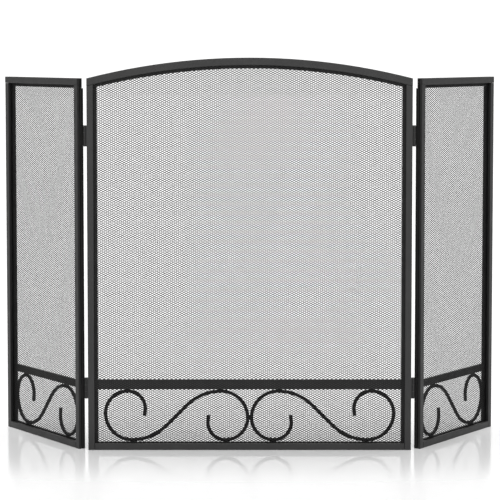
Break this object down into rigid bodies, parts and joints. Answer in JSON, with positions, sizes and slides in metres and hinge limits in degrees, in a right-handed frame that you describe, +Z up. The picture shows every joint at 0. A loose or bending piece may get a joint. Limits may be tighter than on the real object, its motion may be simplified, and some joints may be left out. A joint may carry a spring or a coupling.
{
  "type": "fireplace screen",
  "caption": "Free-standing folding fireplace screen: an arched centre panel and two hinged side panels of flat bar, backed with diamond mesh, with a crossbar and S-scrolls along the foot.",
  "frame": {"origin": "on the floor, under the middle of the centre panel's front bars", "axes": "+X to the viewer's right along the centre panel, +Y from the screen's front to its back, +Z up"},
  "size_m": [0.9992, 0.2561, 0.762],
  "materials": {
    "bar_paint": "satin black powder coat",
    "backing_paint": "satin black powder coat",
    "scroll_paint": "satin black powder coat",
    "mesh_paint": "thin satin black coat on expanded steel",
    "hinge_paint": "satin black paint",
    "hinge_pin_paint": "worn satin black paint on steel"
  },
  "bodies": {
    "centre_panel": {"centre_backing_arch": "backing_paint", "centre_backing_bottom": "backing_paint", "centre_backing_left": "backing_paint", "centre_backing_right": "backing_paint", "centre_bottom_rail": "bar_paint", "centre_crossbar": "bar_paint", "centre_mesh": "mesh_paint", "centre_scroll_left": "scroll_paint", "centre_scroll_right": "scroll_paint", "centre_stile_left": "bar_paint", "centre_stile_right": "bar_paint", "centre_top_arch": "bar_paint", "left_lower_hinge_centre_leaf": "hinge_paint", "left_lower_hinge_pin": "hinge_pin_paint", "left_upper_hinge_centre_leaf": "hinge_paint", "left_upper_hinge_pin": "hinge_pin_paint", "right_lower_hinge_centre_leaf": "hinge_paint", "right_lower_hinge_pin": "hinge_pin_paint", "right_upper_hinge_centre_leaf": "hinge_paint", "right_upper_hinge_pin": "hinge_pin_paint"},
    "left_panel": {"left_backing_bottom": "backing_paint", "left_backing_inner": "backing_paint", "left_backing_outer": "backing_paint", "left_backing_top": "backing_paint", "left_bottom_rail": "bar_paint", "left_crossbar": "bar_paint", "left_inner_stile": "bar_paint", "left_lower_hinge_side_leaf": "hinge_paint", "left_mesh": "mesh_paint", "left_outer_stile": "bar_paint", "left_scroll": "scroll_paint", "left_top_rail": "bar_paint", "left_upper_hinge_side_leaf": "hinge_paint"},
    "right_panel": {"right_backing_bottom": "backing_paint", "right_backing_inner": "backing_paint", "right_backing_outer": "backing_paint", "right_backing_top": "backing_paint", "right_bottom_rail": "bar_paint", "right_crossbar": "bar_paint", "right_inner_stile": "bar_paint", "right_lower_hinge_side_leaf": "hinge_paint", "right_mesh": "mesh_paint", "right_outer_stile": "bar_paint", "right_scroll": "scroll_paint", "right_top_rail": "bar_paint", "right_upper_hinge_side_leaf": "hinge_paint"}
  },
  "joints": [
    {"name": "left_hinge", "type": "hinge", "parent": "centre_panel", "child": "left_panel", "pos_m": [-0.31807, 0.01172, 0.3655], "axis": [0, 0, -1], "range_deg": [-55, 125]},
    {"name": "right_hinge", "type": "hinge", "parent": "centre_panel", "child": "right_panel", "pos_m": [0.31807, 0.01172, 0.3655], "axis": [0, 0, 1], "range_deg": [-55, 125]}
  ]
}
